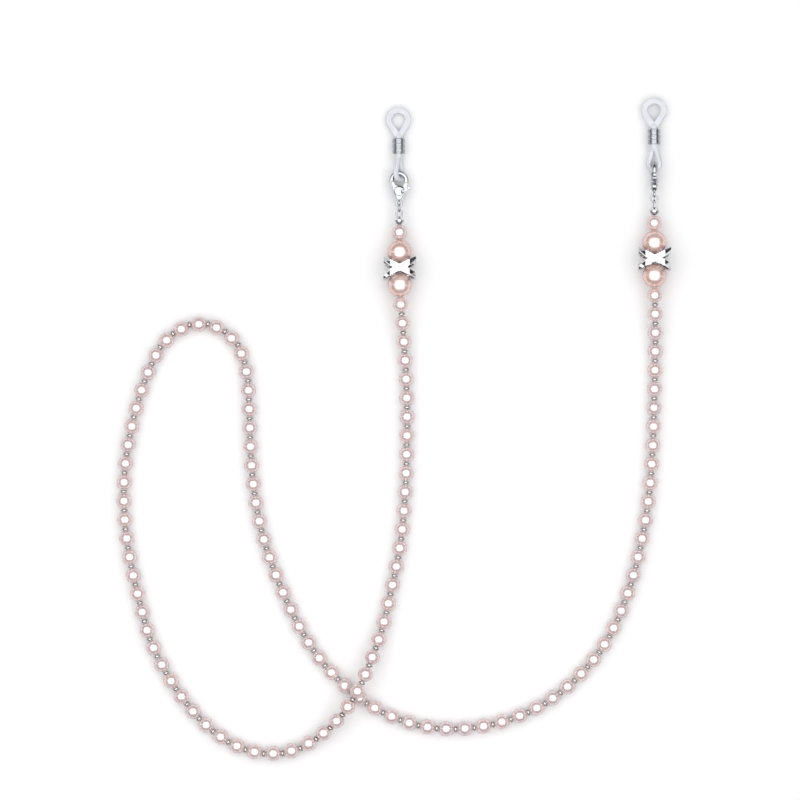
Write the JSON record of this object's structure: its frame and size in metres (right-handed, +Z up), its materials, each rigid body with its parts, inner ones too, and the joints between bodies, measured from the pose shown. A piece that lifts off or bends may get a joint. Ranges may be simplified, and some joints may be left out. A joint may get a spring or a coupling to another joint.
{
  "type": "eyeglasses chain strap",
  "caption": "Pearl-bead neck strap for glasses, with crossed metal bands, lobster clasps and rubber temple loops at both ends.",
  "frame": {"origin": "centre of the footprint, on the surface that the strap lies on", "axes": "+Z up from the surface, +Y towards the two glasses loops, +X from the left end to the right end as laid out"},
  "size_m": [0.1846, 0.2212, 0.0104],
  "materials": {
    "pearl": "pearlescent lacquer over a moulded bead, pale pink with a lilac cast",
    "large_pearl": "pearlescent lacquer over a moulded bead, warmer pink",
    "spacer_metal": "bright plated, slightly warm",
    "band_metal": "mirror bright plated",
    "clasp_metal": "bright plated zinc alloy",
    "spring_steel": "plain drawn",
    "wire": "nylon-coated stranded beading wire",
    "rubber": "milky clear silicone, satin"
  },
  "bodies": {
    "strand": {"crossing_pearls": "pearl", "outer_bend_pearls": "pearl", "loop_top_pearls": "pearl", "inner_run_pearls": "pearl", "lower_curve_pearls": "pearl", "right_curve_pearls": "pearl", "crossing_spacers": "spacer_metal", "outer_bend_spacers": "spacer_metal", "loop_top_spacers": "spacer_metal", "inner_run_spacers": "spacer_metal", "lower_curve_spacers": "spacer_metal", "right_curve_spacers": "spacer_metal", "loop_wire": "wire"},
    "left_run": {"left_run_pearls": "pearl", "left_run_spacers": "spacer_metal", "left_run_wire": "wire", "left_bead_tip": "clasp_metal", "left_crimp_bead": "clasp_metal"},
    "left_top_pearl": {"left_top_pearl": "pearl"},
    "left_upper_large_pearl": {"left_upper_large_pearl": "large_pearl"},
    "left_cross_band": {"left_cross_band": "band_metal"},
    "left_lower_large_pearl": {"left_lower_large_pearl": "large_pearl"},
    "left_connector_link": {"left_connector_link": "clasp_metal"},
    "left_jump_ring": {"left_jump_ring": "clasp_metal"},
    "left_clasp": {"left_clasp_body": "clasp_metal", "left_clasp_rivet": "clasp_metal", "left_clasp_spring": "spring_steel"},
    "left_clasp_trigger": {"left_clasp_trigger": "clasp_metal"},
    "left_glasses_loop": {"left_glasses_loop": "rubber"},
    "left_slider_sleeve": {"left_slider_sleeve": "clasp_metal"},
    "right_run": {"right_run_pearls": "pearl", "right_run_spacers": "spacer_metal", "right_run_wire": "wire", "right_bead_tip": "clasp_metal", "right_crimp_bead": "clasp_metal"},
    "right_top_pearl": {"right_top_pearl": "pearl"},
    "right_upper_large_pearl": {"right_upper_large_pearl": "large_pearl"},
    "right_cross_band": {"right_cross_band": "band_metal"},
    "right_lower_large_pearl": {"right_lower_large_pearl": "large_pearl"},
    "right_connector_link": {"right_connector_link": "clasp_metal"},
    "right_jump_ring": {"right_jump_ring": "clasp_metal"},
    "right_clasp": {"right_clasp_body": "clasp_metal", "right_clasp_rivet": "clasp_metal", "right_clasp_spring": "spring_steel"},
    "right_clasp_trigger": {"right_clasp_trigger": "clasp_metal"},
    "right_glasses_loop": {"right_glasses_loop": "rubber"},
    "right_slider_sleeve": {"right_slider_sleeve": "clasp_metal"}
  },
  "joints": [
    {"name": "left_strand_bend", "type": "hinge", "parent": "strand", "child": "left_run", "pos_m": [0.00357, -0.03053, 0.0025], "axis": [0, 0, 1], "range_deg": [-12, 12]},
    {"name": "left_top_pearl_spin", "type": "hinge", "parent": "left_run", "child": "left_top_pearl", "pos_m": [0.0023, 0.06537, 0.00434], "axis": [-0.0087, 0.9974, -0.0715], "continuous": true},
    {"name": "left_upper_large_pearl_spin", "type": "hinge", "parent": "left_run", "child": "left_upper_large_pearl", "pos_m": [0.00235, 0.05879, 0.00481], "axis": [-0.0087, 0.9974, -0.0715], "continuous": true},
    {"name": "left_cross_band_spin", "type": "hinge", "parent": "left_run", "child": "left_cross_band", "pos_m": [0.0024, 0.0533, 0.0052], "axis": [-0.0087, 0.9974, -0.0715], "continuous": true},
    {"name": "left_lower_large_pearl_spin", "type": "hinge", "parent": "left_run", "child": "left_lower_large_pearl", "pos_m": [0.00245, 0.04781, 0.00559], "axis": [-0.0087, 0.9974, -0.0715], "continuous": true},
    {"name": "left_link_swing", "type": "hinge", "parent": "left_run", "child": "left_connector_link", "pos_m": [0.00225, 0.07071, 0.00395], "axis": [-0.0006, 0.0715, 0.9974], "range_deg": [-20, 20]},
    {"name": "left_ring_swing", "type": "hinge", "parent": "left_connector_link", "child": "left_jump_ring", "pos_m": [0.00223, 0.07231, 0.00384], "axis": [-0.0006, 0.0715, 0.9974], "range_deg": [-20, 20]},
    {"name": "left_clasp_swing", "type": "hinge", "parent": "left_jump_ring", "child": "left_clasp", "pos_m": [0.00221, 0.0747, 0.00367], "axis": [-0.0006, 0.0715, 0.9974], "range_deg": [-25, 25]},
    {"name": "left_clasp_trigger_press", "type": "hinge", "parent": "left_clasp", "child": "left_clasp_trigger", "pos_m": [0.00348, 0.07895, 0.00336], "axis": [-0.0006, 0.0715, 0.9974], "range_deg": [0, 18], "stiffness_Nm_per_rad": 0.004, "springref_deg": -5.73},
    {"name": "left_glasses_loop_swing", "type": "hinge", "parent": "left_clasp", "child": "left_glasses_loop", "pos_m": [0.00214, 0.08268, 0.00309], "axis": [-0.0006, 0.0715, 0.9974], "range_deg": [-22, 22]},
    {"name": "left_sleeve_slide", "type": "slide", "parent": "left_glasses_loop", "child": "left_slider_sleeve", "axis": [-0.0087, 0.9974, -0.0715], "range_m": [-0.0007, 0.0004]},
    {"name": "right_strand_bend", "type": "hinge", "parent": "strand", "child": "right_run", "pos_m": [0.08486, -0.02747, 0.0025], "axis": [0, 0, 1], "range_deg": [-12, 12]},
    {"name": "right_top_pearl_spin", "type": "hinge", "parent": "right_run", "child": "right_top_pearl", "pos_m": [0.0872, 0.06848, 0.00448], "axis": [0, 0.9982, -0.0593], "continuous": true},
    {"name": "right_upper_large_pearl_spin", "type": "hinge", "parent": "right_run", "child": "right_upper_large_pearl", "pos_m": [0.0872, 0.06189, 0.00487], "axis": [0, 0.9982, -0.0593], "continuous": true},
    {"name": "right_cross_band_spin", "type": "hinge", "parent": "right_run", "child": "right_cross_band", "pos_m": [0.0872, 0.0564, 0.0052], "axis": [0, 0.9982, -0.0593], "continuous": true},
    {"name": "right_lower_large_pearl_spin", "type": "hinge", "parent": "right_run", "child": "right_lower_large_pearl", "pos_m": [0.0872, 0.05091, 0.00553], "axis": [0, 0.9982, -0.0593], "continuous": true},
    {"name": "right_link_swing", "type": "hinge", "parent": "right_run", "child": "right_connector_link", "pos_m": [0.0872, 0.07325, 0.0042], "axis": [0, 0.0593, 0.9982], "range_deg": [-20, 20]},
    {"name": "right_ring_swing", "type": "hinge", "parent": "right_connector_link", "child": "right_jump_ring", "pos_m": [0.0872, 0.07605, 0.00403], "axis": [0, 0.0593, 0.9982], "range_deg": [-20, 20]},
    {"name": "right_clasp_swing", "type": "hinge", "parent": "right_jump_ring", "child": "right_clasp", "pos_m": [0.0872, 0.07712, 0.00397], "axis": [0, 0.0593, 0.9982], "range_deg": [-25, 25]},
    {"name": "right_clasp_trigger_press", "type": "hinge", "parent": "right_clasp", "child": "right_clasp_trigger", "pos_m": [0.0872, 0.08214, 0.00497], "axis": [-1, 0, 0], "range_deg": [0, 18], "stiffness_Nm_per_rad": 0.004, "springref_deg": -5.73},
    {"name": "right_glasses_loop_swing", "type": "hinge", "parent": "right_clasp", "child": "right_glasses_loop", "pos_m": [0.0872, 0.08825, 0.00331], "axis": [0, 0.0593, 0.9982], "range_deg": [-10, 10]},
    {"name": "right_sleeve_slide", "type": "slide", "parent": "right_glasses_loop", "child": "right_slider_sleeve", "axis": [0, 0.9982, -0.0593], "range_m": [-0.0007, 0.0004]}
  ]
}
